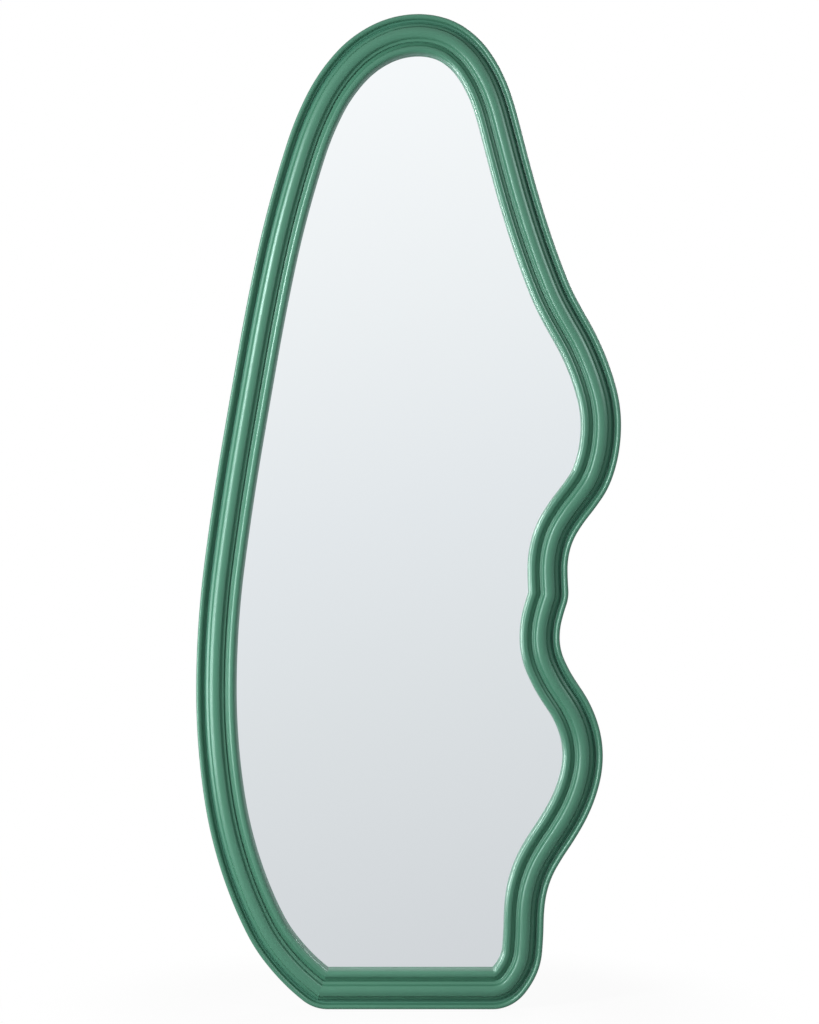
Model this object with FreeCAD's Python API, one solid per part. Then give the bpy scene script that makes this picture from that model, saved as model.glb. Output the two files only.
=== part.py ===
import FreeCAD, Part
import math
import os

from FreeCAD import Vector

# A tall wall mirror with a wavy, ribbed frame. Millimetres. X is to the right as the mirror
# is looked at, Y goes from the viewer to the wall, Z is up. The origin is at the middle of the
# flat foot, halfway between the crown of the ribs and the wall.

# Overall size
width = 726.0
height = 1700.0
sheet_aspect = 2.342          # height over width of the sheet that the headings were read on
waist_height_share = 0.419    # height of the sharp turn at the waist
frame_depth = 38.0            # back face to the crown of the middle rib
face_width = 67.6             # outer edge to the lip beside the glass
lip_corner_radius = 1.0       # the lip's radius where it turns sharply
flat_sag = 0.002              # a flatter arc of the outer edge is drawn as a straight line
seam_tolerance = 0.02         # faces of a frame piece that meet this closely are joined

back_edge_radius = 2.0        # outer edge at the back

# Recesses in the back of the frame
board_seat_width = 15.0       # ledge that the backing board is screwed to
rabbet_width = 12.0           # ledge behind the lip that the glass rests on
board_recess = 3.4
rabbet_height = 11.0          # back face to the ledge behind the lip

# Dowels in the joints of the frame
dowel_radius = 4.0
dowel_length = 40.0
dowel_height = 14.0           # above the back face
dowel_spacing = 24.0
dowel_clearance = 0.05
dowel_end_room = 1.0

# Glass and what is packed behind it
tape_thickness = 1.0
tape_width = 7.0
glass_thickness = 4.0
glass_clearance = 2.0         # glass edge to the wall of the rabbet
film_thickness = 0.2
film_inset = 2.0
board_thickness = 3.0
board_clearance = 1.0
setting_block_length = 30.0

# Screws of the backing board
board_screw_pitch = 260.0
board_screw_radius = 1.75
board_screw_head_radius = 3.5
board_screw_length = 15.0
screw_clearance = 0.05

# Strap hangers with a swinging ring
hanger_height_share = 0.80
strap_width = 16.0
strap_thickness = 1.2
strap_length = 54.0           # ring pin to the strap's lower end
strap_corner_radius = 4.0
strap_screw_drop = 27.0       # ring pin to the upper screw
strap_screw_spacing = 18.0
strap_screw_radius = 2.0
strap_screw_head_radius = 3.8
strap_screw_head_height = 2.2
strap_screw_length = 16.0
ring_wire_radius = 1.5
ring_width = 25.0             # between the centres of its legs
ring_leg = 5.0
ring_corner_radius = 3.0
pin_clearance = 0.05
knuckle_lift = 0.3            # the rolled end stands this far clear of the frame

# Rubber bumpers against the wall
bumper_radius = 9.0
bumper_height = 7.0
bumper_edge_radius = 1.5

# Places along the frame, as a piece of the frame and a share of its length
bumper_place_shares = (
    ("frame_crown_left", 0.55),
    ("frame_crown_right", 0.55),
    ("frame_bottom_rail", 0.12),
    ("frame_bottom_rail", 0.88),
)
block_place_shares = (0.25, 0.75)

# The ribbed face of the frame, from the top of its outer side to the top of the lip's wall.
# Each row is a share of the face's width, a share of the depth above the back face and a
# heading in degrees, where 0 is towards the glass and 90 towards the wall.
face_shares = (
    (0.0000, 0.7368, -90),
    (0.0178, 0.8053, -42),
    (0.0562, 0.8289, 0),
    (0.1080, 0.7921, 40),
    (0.1331, 0.7053, 77),
    (0.1494, 0.6553, 38),
    (0.1746, 0.6342, 22),
    (0.1982, 0.6026, 58),
    (0.2086, 0.5921, 0),
    (0.2204, 0.6132, -66),
    (0.2574, 0.6868, -28),
    (0.3047, 0.7342, -34),
    (0.3328, 0.8526, -75),
    (0.3609, 0.9474, -27),
    (0.4704, 1.0000, 0),
    (0.5769, 0.9579, 25),
    (0.6154, 0.8842, 64),
    (0.6361, 0.8211, 50),
    (0.6538, 0.8000, 10),
    (0.6879, 0.7842, 16),
    (0.7056, 0.7316, 72),
    (0.7160, 0.6947, 0),
    (0.7278, 0.7132, -60),
    (0.7574, 0.7500, -31),
    (0.7929, 0.7895, -36),
    (0.8136, 0.8316, -56),
    (0.8402, 0.8605, -22),
    (0.8876, 0.8737, 0),
    (0.9379, 0.8474, 32),
    (0.9660, 0.7895, 62),
    (0.9941, 0.6211, 80),
    (1.0000, 0.5000, 90),
)

# Worked out from the sizes above
lip_bend_radius = face_width + lip_corner_radius
total_depth = frame_depth + bumper_height
back_y = total_depth / 2 - bumper_height
glass_front = rabbet_height - tape_thickness
glass_back = glass_front - glass_thickness
film_back = glass_back - film_thickness
board_front = board_recess
board_back = board_front - board_thickness
rabbet_start = face_width - rabbet_width
board_seat_start = rabbet_start - board_seat_width
glass_inset = rabbet_start + glass_clearance
board_inset = board_seat_start + board_clearance
ring_bore_radius = ring_wire_radius + pin_clearance
knuckle_radius = ring_bore_radius + strap_thickness
pin_height = knuckle_radius + knuckle_lift


def heading_vector(heading):
    """Unit vector of a heading in degrees: 0 to the right, 90 down, seen from the front."""
    run = math.cos(math.radians(heading)) * width
    fall = math.sin(math.radians(heading)) * height / sheet_aspect
    vector = Vector(run, 0, -fall)
    return vector.normalize()


def inward(vector):
    """The direction square to a heading, from the outer edge towards the glass."""
    return Vector(vector.z, 0, -vector.x)


def station(x_share, z_share, heading):
    """A point of the outer edge and its heading, as shares of the width and height."""
    point = Vector((x_share - 0.5) * width, 0, z_share * height)
    return point, heading_vector(heading)


def bend(x_share, z_height, heading):
    """A point of the outer edge where it swings round a sharp turn of the lip."""
    centre = Vector((x_share - 0.5) * width, 0, z_height)
    vector = heading_vector(heading)
    return centre - inward(vector) * lip_bend_radius, vector


def beside_bend(x_share, z_height, side, heading, reach_share):
    """A point beside a sharp turn of the lip, at a share of the bend's radius from its centre."""
    centre = Vector((x_share - 0.5) * width, 0, z_height)
    point = centre - inward(heading_vector(side)) * lip_bend_radius * reach_share
    return point, heading_vector(heading)


# The outer edge, clockwise from the top, piece by piece. Each piece of the frame runs from its
# own first point to the first point of the next.
waist_z = waist_height_share * height
outline_shares = (
    ("frame_crown_right", (
        station(0.524, 1.000, 0),
        station(0.637, 0.9853, 35.3),
    )),
    ("frame_upper_right", (
        station(0.731, 0.931, 67.8),
        station(0.757, 0.8965, 75.4),
        station(0.793, 0.838, 74.7),
    )),
    ("frame_right_bulge", (
        station(0.872, 0.7355, 68.4),
        station(0.923, 0.6925, 60),
        station(0.960, 0.6605, 67.4),
        station(1.000, 0.587, 90),
        station(0.977, 0.5315, 111),
    )),
    ("frame_upper_waist", (
        station(0.925, 0.496, 128.5),
        beside_bend(0.7817, waist_z, 45.4, 103.2, 1.447),
        bend(0.7817, waist_z, 86),
    )),
    ("frame_lower_waist", (
        bend(0.7817, waist_z, 97.5),
        bend(0.7817, waist_z, 109),
        beside_bend(0.7817, waist_z, 145.0, 90.5, 1.361),
    )),
    ("frame_lower_bulge", (
        station(0.892, 0.331, 57),
        station(0.9205, 0.312, 61),
        station(0.957, 0.2545, 90),
        station(0.935, 0.2075, 110.9),
    )),
    ("frame_lower_right", (
        station(0.875, 0.1605, 124.3),
        station(0.829, 0.123, 106.6),
        station(0.8178, 0.087, 91),
        beside_bend(0.6975, lip_bend_radius, 105.4, 119, 1.059),
        bend(0.6975, lip_bend_radius, 147),
    )),
    ("frame_bottom_rail", (
        bend(0.6975, lip_bend_radius, 163),
        bend(0.6975, lip_bend_radius, 180),
        bend(0.3100, lip_bend_radius, 180),
    )),
    ("frame_lower_left", (
        bend(0.3100, lip_bend_radius, 199),
        bend(0.3100, lip_bend_radius, 218),
        station(0.159, 0.049, 232.5),
        station(0.091, 0.102, 247.2),
    )),
    ("frame_middle_left", (
        station(0.000, 0.320, 270),
    )),
    ("frame_upper_left", (
        station(0.0645, 0.577, 279.7),
        station(0.141, 0.7545, 282),
    )),
    ("frame_crown_left", (
        station(0.2135, 0.870, 287.8),
        station(0.3315, 0.9625, 313),
    )),
)


class Span:
    """One arc or straight line of the outer edge, from a point along a heading to an end."""

    def __init__(self, start, heading, end):
        self.start = start
        self.end = end
        self.heading = heading
        chord = end - start
        across = inward(heading).dot(chord)
        along = heading.dot(chord)
        self.turn = 2 * math.atan2(across, along)
        self.straight = abs(self.turn) * chord.Length / 8 < flat_sag
        if self.straight:
            self.length = chord.Length
            self.heading = chord.normalize()
            self.end_heading = self.heading
        else:
            self.radius = chord.Length ** 2 / (2 * across)
            self.centre = start + inward(heading) * self.radius
            self.length = abs(self.radius * self.turn)
            self.end_heading = self.heading_at(self.length)

    def heading_at(self, distance):
        if self.straight:
            return self.heading
        angle = self.turn * distance / self.length
        return self.heading * math.cos(angle) + inward(self.heading) * math.sin(angle)

    def point_at(self, distance):
        if self.straight:
            return self.start + self.heading * distance
        return self.centre - inward(self.heading_at(distance)) * self.radius

    def edge(self):
        if self.straight:
            return Part.LineSegment(self.start, self.end).toShape()
        middle = self.point_at(self.length / 2)
        return Part.Arc(self.start, middle, self.end).toShape()

    def sweep(self, wire):
        """Carry a cross-section, drawn at the start of the span, along the span."""
        if self.straight:
            return wire.extrude(self.end - self.start)
        return wire.revolve(self.centre, Vector(0, 1, 0), math.degrees(self.turn))


def spans_between(start, end):
    """Two arcs that leave one station along its heading and meet the next along its own."""
    point, heading = start
    next_point, next_heading = end
    chord = next_point - point
    lean = chord.dot(heading + next_heading)
    spread = 2 * (1 - heading.dot(next_heading))
    if spread < 1e-9:
        reach = chord.dot(chord) / (2 * lean)
    else:
        reach = (math.sqrt(lean ** 2 + spread * chord.dot(chord)) - lean) / spread
    middle = (point + heading * reach + next_point - next_heading * reach) / 2
    first = Span(point, heading, middle)
    return [first, Span(middle, first.end_heading, next_point)]


def frame_runs():
    """The spans of each piece of the frame, by the piece's name."""
    starts = [stations[0] for name, stations in outline_shares]
    runs = {}
    for index, (name, stations) in enumerate(outline_shares):
        last = starts[(index + 1) % len(starts)]
        ends = list(stations[1:]) + [last]
        runs[name] = []
        for start, end in zip(stations, ends):
            runs[name] += spans_between(start, end)
    return runs


def outline_wire(runs):
    edges = [span.edge() for spans in runs.values() for span in spans]
    return Part.Wire(edges)


def inset_wire(outline, inset):
    return outline.makeOffset2D(-inset)


def plain_heading(heading):
    """Unit vector of a heading in degrees: 0 to the right, 90 down."""
    angle = math.radians(heading)
    return Vector(math.cos(angle), 0, -math.sin(angle))


def face_spans():
    """The ribbed face as spans of (distance from the outer edge, 0, height above the back)."""
    stations = [(Vector(across * face_width, 0, level * frame_depth), plain_heading(heading))
                for across, level, heading in face_shares]
    spans = []
    for start, end in zip(stations, stations[1:]):
        spans += spans_between(start, end)
    return spans


def profile_spans():
    """The frame's whole cross-section, once round from the foot of its outer side."""
    face = face_spans()
    corners = [face[-1].end] + [Vector(distance, 0, level) for distance, level in (
        (face_width, rabbet_height),
        (rabbet_start, rabbet_height),
        (rabbet_start, board_recess),
        (board_seat_start, board_recess),
        (board_seat_start, 0),
        (back_edge_radius, 0),
    )]
    foot = Vector(0, 0, back_edge_radius)
    sides = [(foot, face[0].start)] + list(zip(corners, corners[1:]))
    lines = [Span(start, (end - start).normalize(), end) for start, end in sides]
    rounding = Span(corners[-1], plain_heading(180), foot)
    return lines[:1] + face + lines[1:] + [rounding]


def profile_wire(point, heading):
    """The cross-section standing square to the outer edge at a point."""
    across = inward(heading)

    def place(spot):
        return point + across * spot.x + Vector(0, back_y - spot.z, 0)

    edges = []
    for span in profile_spans():
        start = place(span.start)
        end = place(span.end)
        if span.straight:
            edges.append(Part.LineSegment(start, end).toShape())
        else:
            middle = place(span.point_at(span.length / 2))
            edges.append(Part.Arc(start, middle, end).toShape())
    return Part.Wire(edges)


def frame_piece(spans):
    """The cross-section carried along a run of spans, and closed at both ends."""
    first = spans[0]
    last = spans[-1]
    faces = [
        Part.Face(profile_wire(first.start, first.heading)),
        Part.Face(profile_wire(last.end, last.end_heading)),
    ]
    for span in spans:
        faces += span.sweep(profile_wire(span.start, span.heading)).Faces
    shell = Part.Shell(faces)
    shell.sewShape(seam_tolerance)
    return Part.Solid(shell)


def place_along(spans, share, inset):
    """The point a share of the way along a run, at an inset from the outer edge."""
    distance = share * sum(span.length for span in spans)
    for span in spans:
        if distance <= span.length:
            break
        distance -= span.length
    else:
        distance = span.length
    heading = span.heading_at(distance)
    return span.point_at(distance) + inward(heading) * inset


def at_level(point, level):
    """A point moved to a height above the frame's back face, towards the viewer."""
    return Vector(point.x, back_y - level, point.z)


def rod(start, direction, radius, length):
    return Part.makeCylinder(radius, length, start, direction)


def joint_dowels(runs):
    """Two dowels across each joint of the frame, and the holes that take them."""
    dowels = []
    holes = []
    middle = rabbet_start / 2
    for spans in runs.values():
        point = spans[0].start
        heading = spans[0].heading
        for side in (-1, 1):
            inset = middle + side * dowel_spacing / 2
            centre = at_level(point + inward(heading) * inset, dowel_height)
            half = dowel_length / 2
            dowels.append(rod(centre - heading * half, heading, dowel_radius, dowel_length))
            half += dowel_end_room
            hole_radius = dowel_radius + dowel_clearance
            holes.append(rod(centre - heading * half, heading, hole_radius, 2 * half))
    return dowels, holes


def slab(outline, inset, back, front):
    """A flat sheet with the frame's outline inset, between two heights above the back."""
    face = Part.Face(inset_wire(outline, inset))
    face.translate(Vector(0, back_y - back, 0))
    return face.extrude(Vector(0, back - front, 0))


def glazing_tape(outline):
    outer = slab(outline, glass_inset, glass_front, rabbet_height)
    inner = slab(outline, glass_inset + tape_width, glass_front, rabbet_height)
    return outer.cut(inner)


def setting_blocks(runs):
    blocks = []
    for share in block_place_shares:
        foot = place_along(runs["frame_bottom_rail"], share, rabbet_start)
        corner = at_level(foot, glass_front) - Vector(setting_block_length / 2, 0, 0)
        blocks.append(Part.makeBox(setting_block_length, glass_thickness, glass_clearance, corner))
    return blocks


def board_screw(point):
    """A countersunk screw whose head lies level with the back of the board."""
    head_height = board_screw_head_radius - board_screw_radius
    seat = at_level(point, board_back)
    forward = Vector(0, -1, 0)
    shank = rod(seat, forward, board_screw_radius, board_screw_length)
    head = Part.makeCone(board_screw_head_radius, board_screw_radius, head_height, seat, forward)
    return shank.fuse(head)


def board_screw_hole(point):
    """The room that a board screw takes, with its clearance, open to the back."""
    wide = board_screw_head_radius + screw_clearance
    narrow = board_screw_radius + screw_clearance
    seat = at_level(point, board_back)
    forward = Vector(0, -1, 0)
    length = board_screw_length + screw_clearance
    cone = Part.makeCone(wide, narrow, wide - narrow, seat, forward)
    mouth = rod(at_level(point, 0), forward, wide, board_back)
    return rod(seat, forward, narrow, length).multiFuse([cone, mouth])


def board_screw_places(runs):
    inset = (board_inset + rabbet_start) / 2
    places = []
    for spans in runs.values():
        length = sum(span.length for span in spans)
        count = max(1, round(length / board_screw_pitch))
        places += [place_along(spans, (k + 0.5) / count, inset) for k in range(count)]
    return places


def hanger_pins(outline):
    """Centres of the left and right ring pins, over the middle of the frame's back face."""
    middle = inset_wire(outline, board_seat_start / 2)
    level = hanger_height_share * height
    line = Part.makeLine(Vector(-width, 0, level), Vector(width, 0, level))
    crossings = [vertex.Point.x for vertex in middle.section(line).Vertexes]
    return [Vector(x, back_y + pin_height, level) for x in (min(crossings), max(crossings))]


def strap_screw_spots(pin):
    drops = (strap_screw_drop, strap_screw_drop + strap_screw_spacing)
    return [Vector(pin.x, back_y, pin.z - drop) for drop in drops]


def is_low_corner(edge, low):
    """True for the two edges through the thickness of the strap at its lower end."""
    box = edge.BoundBox
    return box.ZMax < low + strap_thickness and box.YLength > box.XLength


def hanger_strap(pin):
    """A steel strap, rolled round the ring's pin at its upper end."""
    left = pin.x - strap_width / 2
    low = pin.z - strap_length
    plate = Part.makeBox(strap_width, strap_thickness, strap_length, Vector(left, back_y, low))
    rounded = [edge for edge in plate.Edges if is_low_corner(edge, low)]
    plate = plate.makeFillet(strap_corner_radius, rounded)
    axis = Vector(1, 0, 0)
    start = Vector(left, pin.y, pin.z)
    knuckle = rod(start, axis, knuckle_radius, strap_width)
    tongue = Part.makeBox(strap_width, knuckle_lift + strap_thickness, knuckle_radius,
                          Vector(left, back_y, pin.z - knuckle_radius))
    body = plate.multiFuse([knuckle, tongue])
    tools = [rod(start, axis, ring_bore_radius, strap_width)]
    for spot in strap_screw_spots(pin):
        hole_radius = strap_screw_radius + screw_clearance
        tools.append(rod(spot, Vector(0, 1, 0), hole_radius, strap_thickness))
    return body.cut(tools)


def strap_screw(spot):
    """A round-headed screw: its head on the strap, its shank in the frame."""
    forward = Vector(0, -1, 0)
    top = spot + Vector(0, strap_thickness, 0)
    shank = rod(top, forward, strap_screw_radius, strap_screw_length)
    head = Part.makeSphere(strap_screw_head_radius, top, Vector(0, 1, 0), 0, 90, 360)
    squash = FreeCAD.Matrix()
    squash.scale(1, strap_screw_head_height / strap_screw_head_radius, 1)
    head.translate(-top)
    head = head.transformGeometry(squash)
    head.translate(top)
    return shank.fuse(head)


def strap_screw_hole(spot):
    length = strap_screw_length - strap_thickness + screw_clearance
    return rod(spot, Vector(0, -1, 0), strap_screw_radius + screw_clearance, length)


def hanger_ring(pin):
    """A closed D of round wire, hanging from its straight side, which is the pin."""
    half = ring_width / 2
    bend_start = half - ring_corner_radius
    slant = ring_corner_radius * (1 - math.sqrt(0.5))
    low = -ring_corner_radius - ring_leg

    def at(x, z):
        return pin + Vector(x, 0, z)

    path = Part.Wire([
        Part.LineSegment(at(-bend_start, 0), at(bend_start, 0)).toShape(),
        Part.Arc(at(bend_start, 0), at(half - slant, -slant),
                 at(half, -ring_corner_radius)).toShape(),
        Part.LineSegment(at(half, -ring_corner_radius), at(half, low)).toShape(),
        Part.Arc(at(half, low), at(0, low - half), at(-half, low)).toShape(),
        Part.LineSegment(at(-half, low), at(-half, -ring_corner_radius)).toShape(),
        Part.Arc(at(-half, -ring_corner_radius), at(slant - half, -slant),
                 at(-bend_start, 0)).toShape(),
    ])
    section = Part.Wire(Part.Circle(at(-bend_start, 0), Vector(1, 0, 0), ring_wire_radius).toShape())
    return path.makePipeShell([section], True, False)


def bumper(point):
    """A rubber disc on the frame's back with a rounded outer rim."""
    disc = rod(at_level(point, 0), Vector(0, 1, 0), bumper_radius, bumper_height)
    rim = [edge for edge in disc.Edges if edge.BoundBox.YMin > back_y + bumper_height / 2]
    return disc.makeFillet(bumper_edge_radius, rim)


def export(name, shape):
    if isinstance(shape, list):
        shape = Part.makeCompound(shape)
    shape.exportStep(f"parts/{name}.step")
    print(f"{name:22s} solids {len(shape.Solids):3d} volume {shape.Volume:12.1f} valid {shape.isValid()}")


def cut_near(shape, tools):
    """Cut only the tools whose boxes meet the shape's box."""
    near = [tool for tool in tools if tool.BoundBox.intersect(shape.BoundBox)]
    return shape.cut(near) if near else shape


def main():
    os.makedirs("parts", exist_ok=True)
    runs = frame_runs()
    outline = outline_wire(runs)
    box = outline.BoundBox
    print(f"outline x {box.XMin:.2f} {box.XMax:.2f} z {box.ZMin:.2f} {box.ZMax:.2f}")

    pins = hanger_pins(outline)
    spots = [spot for pin in pins for spot in strap_screw_spots(pin)]
    places = board_screw_places(runs)
    dowels, dowel_holes = joint_dowels(runs)
    holes = dowel_holes
    holes += [board_screw_hole(place) for place in places]
    holes += [strap_screw_hole(spot) for spot in spots]

    for name, spans in runs.items():
        export(name, cut_near(frame_piece(spans), holes))
    export("frame_dowels", dowels)

    export("glazing_tape", glazing_tape(outline))
    export("mirror_glass", slab(outline, glass_inset, glass_back, glass_front))
    export("setting_blocks", setting_blocks(runs))
    export("safety_film", slab(outline, glass_inset + film_inset, film_back, glass_back))
    export("foam_sheet", slab(outline, glass_inset, board_front, film_back))

    board = slab(outline, board_inset, board_back, board_front)
    export("backing_board", cut_near(board, [board_screw_hole(place) for place in places]))
    export("board_screws", [board_screw(place) for place in places])

    for side, pin in zip(("left", "right"), pins):
        export(f"hanger_strap_{side}", hanger_strap(pin))
        export(f"hanger_ring_{side}", hanger_ring(pin))
        print(f"{side} pin at x {pin.x:.2f} y {pin.y:.2f} z {pin.z:.2f}")
    export("hanger_screws", [strap_screw(spot) for spot in spots])

    middle = board_seat_start / 2
    seats = [place_along(runs[name], share, middle) for name, share in bumper_place_shares]
    export("wall_bumpers", [bumper(seat) for seat in seats])
    for seat in seats:
        print(f"bumper at x {seat.x:.2f} z {seat.z:.2f}")


main()
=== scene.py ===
import math

import bmesh
import bpy
from bpy.props import FloatProperty, FloatVectorProperty, PointerProperty
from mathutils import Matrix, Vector


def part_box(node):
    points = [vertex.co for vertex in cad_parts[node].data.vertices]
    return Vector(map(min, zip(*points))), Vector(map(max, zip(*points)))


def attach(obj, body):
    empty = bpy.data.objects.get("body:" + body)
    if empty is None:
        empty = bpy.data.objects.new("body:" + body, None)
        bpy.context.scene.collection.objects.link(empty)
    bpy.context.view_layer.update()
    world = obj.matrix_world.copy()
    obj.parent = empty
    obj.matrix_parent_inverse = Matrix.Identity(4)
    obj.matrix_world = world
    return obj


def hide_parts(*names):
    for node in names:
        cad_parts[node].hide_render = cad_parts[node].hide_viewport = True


bl_info = {
    "name": "Wavy Wall Mirror",
    "version": (1, 0, 0),
    "blender": (4, 5, 0),
    "location": "View3D > Sidebar > Wall Mirror",
    "description": "Finishes a tall wall mirror with a ribbed, lacquered, wavy frame",
    "category": "Object",
}

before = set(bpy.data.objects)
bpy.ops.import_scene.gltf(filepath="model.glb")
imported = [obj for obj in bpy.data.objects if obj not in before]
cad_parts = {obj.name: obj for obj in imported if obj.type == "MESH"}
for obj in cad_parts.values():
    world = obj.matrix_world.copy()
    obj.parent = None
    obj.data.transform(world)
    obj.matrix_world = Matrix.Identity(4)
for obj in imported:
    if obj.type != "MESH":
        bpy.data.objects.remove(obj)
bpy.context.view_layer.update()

MM = 0.001
# An arc that bulges less than this counts as a straight line.
FLAT_BULGE = 0.002 * MM
# Headings with a smaller cosine between them meet at a sharp corner.
SHARP_COSINE = 0.998
# Height over width of the sheet that the outline's headings were read on.
SHEET_ASPECT = 2.342
BODY = "mirror"
RING_BODIES = {"left": "left_ring", "right": "right_ring"}

# The outer edge of the frame, clockwise from the top as the mirror is looked at, piece by piece.
# Each row is a share of the width, a share of the height and a heading in degrees, where 0 is to
# the right and 90 down. A word in place of the height is a sharp corner of the lip that the edge
# swings round.
OUTLINE_SHARES = (
    ("crown_right", ((0.524, 1.000, 0), (0.637, 0.9853, 35.3))),
    ("upper_right", ((0.731, 0.931, 67.8), (0.757, 0.8965, 75.4), (0.793, 0.838, 74.7))),
    ("right_bulge", ((0.872, 0.7355, 68.4), (0.923, 0.6925, 60), (0.960, 0.6605, 67.4),
                     (1.000, 0.587, 90), (0.977, 0.5315, 111))),
    ("upper_waist", ((0.925, 0.496, 128.5), (0.879, 0.460, 103.2), (0.7817, "waist", 86))),
    ("lower_waist", ((0.7817, "waist", 97.5), (0.7817, "waist", 109), (0.8555, 0.374, 90.5))),
    ("lower_bulge", ((0.892, 0.331, 57), (0.9205, 0.312, 61), (0.957, 0.2545, 90),
                     (0.935, 0.2075, 110.9))),
    ("lower_right", ((0.875, 0.1605, 124.3), (0.829, 0.123, 106.6), (0.8178, 0.087, 91),
                     (0.794, 0.029, 119), (0.6975, "foot", 147))),
    ("bottom_rail", ((0.6975, "foot", 163), (0.6975, "foot", 180), (0.3100, "foot", 180))),
    ("lower_left", ((0.3100, "foot", 199), (0.3100, "foot", 218), (0.159, 0.049, 232.5),
                    (0.091, 0.102, 247.2))),
    ("middle_left", ((0.000, 0.320, 270),)),
    ("upper_left", ((0.0645, 0.577, 279.7), (0.141, 0.7545, 282))),
    ("crown_left", ((0.2135, 0.870, 287.8), (0.3315, 0.9625, 313))),
)

# The ribbed face of the frame from the top of its outer side to the top of the lip's wall. Each
# row is a share of the face's width, a share of the depth above the back and a heading in
# degrees, where 0 is towards the glass and 90 towards the wall.
FACE_SHARES = (
    (0.0000, 0.7368, -90), (0.0178, 0.8053, -42),
    (0.0562, 0.8289, 0), (0.1080, 0.7921, 40),
    (0.1331, 0.7053, 77), (0.1494, 0.6553, 38),
    (0.1746, 0.6342, 22), (0.1982, 0.6026, 58),
    (0.2086, 0.5921, 0), (0.2204, 0.6132, -66),
    (0.2574, 0.6868, -28), (0.3047, 0.7342, -34),
    (0.3328, 0.8526, -75), (0.3609, 0.9474, -27),
    (0.4704, 1.0000, 0), (0.5769, 0.9579, 25),
    (0.6154, 0.8842, 64), (0.6361, 0.8211, 50),
    (0.6538, 0.8000, 10), (0.6879, 0.7842, 16),
    (0.7056, 0.7316, 72), (0.7160, 0.6947, 0),
    (0.7278, 0.7132, -60), (0.7574, 0.7500, -31),
    (0.7929, 0.7895, -36), (0.8136, 0.8316, -56),
    (0.8402, 0.8605, -22), (0.8876, 0.8737, 0),
    (0.9379, 0.8474, 32), (0.9660, 0.7895, 62),
    (0.9941, 0.6211, 80), (1.0000, 0.5000, 90),
)

# The pieces before and after each mitre that shows as a crease, and the distances from the
# outer edge, as shares of the face's width, between which the crease fades in.
MITRES = (
    ("upper_waist", "lower_waist", 0.40, 0.58),
    ("bottom_rail", "lower_left", 0.10, 0.30),
)

# The soft lights, which all face the middle of the mirror: where they stand from there, their
# width and height, all in metres, and their watts.
LAMPS = {
    "left_softbox": ((-1.7, -1.6, 0.1), 0.4, 1.8, 39),
    "high_softbox": ((-1.6, -1.5, 0.9), 0.4, 0.4, 25),
    "low_softbox": ((-2.1, -0.9, -0.45), 0.6, 0.6, 18),
    "right_softbox": ((2.0, -1.7, 1.15), 0.35, 0.7, 16),
    "back_softbox": ((0.9, 2.6, 1.3), 1.6, 1.6, 50),
}

# The room that the glass shows, from straight down, 0, to straight up, 1.
ROOM = (
    (0.0, (0.30, 0.31, 0.32)),
    (0.33, (0.56, 0.58, 0.60)),
    (0.415, (0.675, 0.695, 0.715)),
    (0.466, (0.75, 0.775, 0.79)),
    (0.50, (0.805, 0.83, 0.85)),
    (0.54, (0.885, 0.905, 0.915)),
    (0.584, (0.97, 0.98, 0.985)),
    (0.65, (1.0, 1.0, 1.0)),
)


def srgb(red, green, blue):
    """A colour written as 0 to 255, as the linear values that a shader takes."""
    shares = [value / 255 for value in (red, green, blue)]
    return [s / 12.92 if s <= 0.04045 else ((s + 0.055) / 1.055) ** 2.4 for s in shares]


def size(name, description, millimetres):
    return FloatProperty(name=name, description=description, default=millimetres * MM,
                         unit="LENGTH", precision=5)


def share(name, description, default):
    return FloatProperty(name=name, description=description, default=default,
                         min=0, max=1, subtype="FACTOR")


def angle(name, description, degrees):
    return FloatProperty(name=name, description=description, default=math.radians(degrees),
                         subtype="ANGLE")


def colour(name, description, *levels):
    return FloatVectorProperty(name=name, description=description, default=srgb(*levels),
                               size=3, min=0, max=1, subtype="COLOR")


class MirrorFrameSizes(bpy.types.PropertyGroup):
    """Sizes of the frame's outline and of its ribs."""

    width: size("Width", "Overall width of the frame", 726)
    height: size("Height", "Overall height of the frame", 1700)
    waist_share: share("Waist height", "Height of the sharp turn at the waist", 0.419)
    lip_corner: size("Lip corner", "Radius of the lip at a sharp turn", 1)
    back_face: size("Back face", "Back face behind the middle", 15.5)
    depth: size("Depth", "Back face to the middle rib", 38)
    face_width: size("Face width", "Outer edge to the lip beside the glass", 67.6)
    groove_level: size("Groove level", "Height of the grooves", 24)
    back_edge: size("Back edge", "Radius of the outer edge at the back", 2)
    rabbet_width: size("Rabbet width", "Ledge behind the lip for the glass", 12)
    rabbet_height: size("Rabbet height", "Back face to that ledge", 11)
    seat_width: size("Board seat width", "Ledge under the backing board", 15)
    seat_recess: size("Board seat recess", "Depth of that ledge", 3.4)
    lacquer_ease: size("Lacquer ease", "Rounding of sharp corners", 0.7)
    path_step: size("Path step", "Longest step along the frame", 9)
    turn_step: angle("Turn step", "Largest turn along the frame", 1.4)
    arc_step: angle("Arc step", "Largest turn across a rib", 6)


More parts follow.
